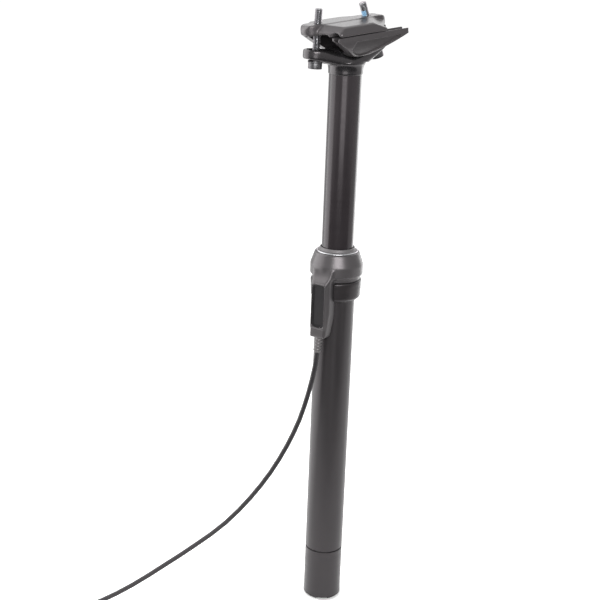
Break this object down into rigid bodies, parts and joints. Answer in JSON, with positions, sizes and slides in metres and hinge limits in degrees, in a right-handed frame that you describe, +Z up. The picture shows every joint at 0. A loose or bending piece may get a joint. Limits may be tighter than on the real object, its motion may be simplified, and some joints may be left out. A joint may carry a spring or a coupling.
{
  "type": "dropper seatpost",
  "caption": "Telescopic bicycle seatpost: a post slides in a lower tube, released by a cable at the collar, with a tilting rail clamp on top.",
  "frame": {"origin": "centre of the end cap's flat lower face", "axes": "+Z up along the tubes' axis towards the saddle clamp, +X to the rear of the bicycle, -Y to the rider's left"},
  "size_m": [0.3133, 0.1108, 0.4939],
  "materials": {
    "satin_black": "satin black anodised",
    "gloss_black": "polished black anodised",
    "machined_alloy": "machined",
    "steel": "ground steel",
    "black_steel": "black oxide",
    "brass": "machined brass",
    "rubber": "matt moulded rubber",
    "moulded_black": "fine moulded grain",
    "bush_polymer": "plain bearing polymer",
    "felt": "oiled felt",
    "cable_casing": "smooth extruded casing"
  },
  "bodies": {
    "base": {"outer_tube": "satin_black", "end_cap": "satin_black", "base_plug": "machined_alloy", "rod_nut": "steel", "piston_rod": "steel", "piston": "brass", "piston_ring": "rubber", "bottom_bumper": "rubber", "actuator_housing": "satin_black", "housing_cover": "moulded_black", "lower_collar": "gloss_black", "upper_bushing": "bush_polymer", "foam_ring": "felt", "wiper_seal": "rubber", "seal_retaining_ring": "steel", "lever_pivot_pin": "steel", "lever_return_spring": "steel", "rocker_pin": "steel", "cable_boot": "rubber", "remote_cable_run": "cable_casing", "remote_cable_coil": "cable_casing", "coil_tie": "moulded_black", "cable_ferrule": "machined_alloy", "inner_wire_tail": "steel", "wire_end_cap": "machined_alloy"},
    "post": {"stanchion": "gloss_black", "head": "gloss_black", "cartridge_body": "steel", "cartridge_seal_head": "machined_alloy", "rod_seal": "rubber", "top_out_bumper": "rubber", "cartridge_cap": "machined_alloy", "guide_keys": "brass", "lower_bushing": "bush_polymer"},
    "gas_divider": {"floating_piston": "machined_alloy", "floating_piston_ring": "rubber"},
    "release_lever": {"actuator_lever": "steel"},
    "cable_wire": {"release_wire": "steel"},
    "pull_wire": {"link_wire": "steel"},
    "valve_rocker": {"base_rocker": "steel"},
    "valve_stem": {"valve_pin": "steel"},
    "rail_clamp": {"lower_cradle": "satin_black", "top_clamp": "satin_black"},
    "front_bolt_set": {"front_bolt": "black_steel", "front_washer": "black_steel"},
    "rear_bolt_set": {"rear_bolt": "black_steel", "rear_washer": "black_steel"}
  },
  "joints": [
    {"name": "post_travel", "type": "slide", "parent": "base", "child": "post", "axis": [0, 0, 1], "range_m": [-0.125, 0]},
    {"name": "gas_divider_travel", "type": "slide", "parent": "post", "child": "gas_divider", "axis": [0, 0, 1], "range_m": [0, 0.0262]},
    {"name": "lever_pull", "type": "hinge", "parent": "base", "child": "release_lever", "pos_m": [-0.01604, -0.00817, 0.262], "axis": [0.454, -0.891, 0], "range_deg": [0, 28.2], "deforming": ["lever_return_spring"]},
    {"name": "cable_wire_pull", "type": "slide", "parent": "base", "child": "cable_wire", "axis": [0, 0, -1], "range_m": [0, 0.0017]},
    {"name": "pull_wire_lift", "type": "slide", "parent": "base", "child": "pull_wire", "axis": [0, 0, 1], "range_m": [0, 0.0021]},
    {"name": "valve_rocker_turn", "type": "hinge", "parent": "base", "child": "valve_rocker", "pos_m": [0.00846, 0.00431, 0.024], "axis": [-0.454, 0.891, 0], "range_deg": [0, 5.2]},
    {"name": "valve_stem_lift", "type": "slide", "parent": "base", "child": "valve_stem", "axis": [0, 0, 1], "range_m": [0, 0.00085], "stiffness_N_per_m": 400, "springref_m": -0.002},
    {"name": "saddle_tilt", "type": "hinge", "parent": "post", "child": "rail_clamp", "pos_m": [0, 0, 0.472], "axis": [0, 1, 0], "range_deg": [-8, 8]},
    {"name": "front_bolt_draw", "type": "slide", "parent": "rail_clamp", "child": "front_bolt_set", "axis": [-0.0349, 0, -0.9994], "range_m": [-0.0038, 0.0038]},
    {"name": "rear_bolt_draw", "type": "slide", "parent": "rail_clamp", "child": "rear_bolt_set", "axis": [0.3665, 0, -0.9304], "range_m": [-0.0027, 0.0027]}
  ],
  "couplings": [
    {"joint": "gas_divider_travel", "follows": "post_travel", "ratio": -0.20898},
    {"joint": "cable_wire_pull", "follows": "valve_stem_lift", "ratio": 1.9579},
    {"joint": "pull_wire_lift", "follows": "valve_stem_lift", "ratio": 2.4474},
    {"joint": "valve_rocker_turn", "follows": "valve_stem_lift", "rad_per_m": 105.26},
    {"joint": "lever_pull", "follows": "valve_stem_lift", "rad_per_m": 575.85},
    {"joint": "front_bolt_draw", "follows": "saddle_tilt", "m_per_rad": 0.02614},
    {"joint": "rear_bolt_draw", "follows": "saddle_tilt", "m_per_rad": -0.01886}
  ]
}
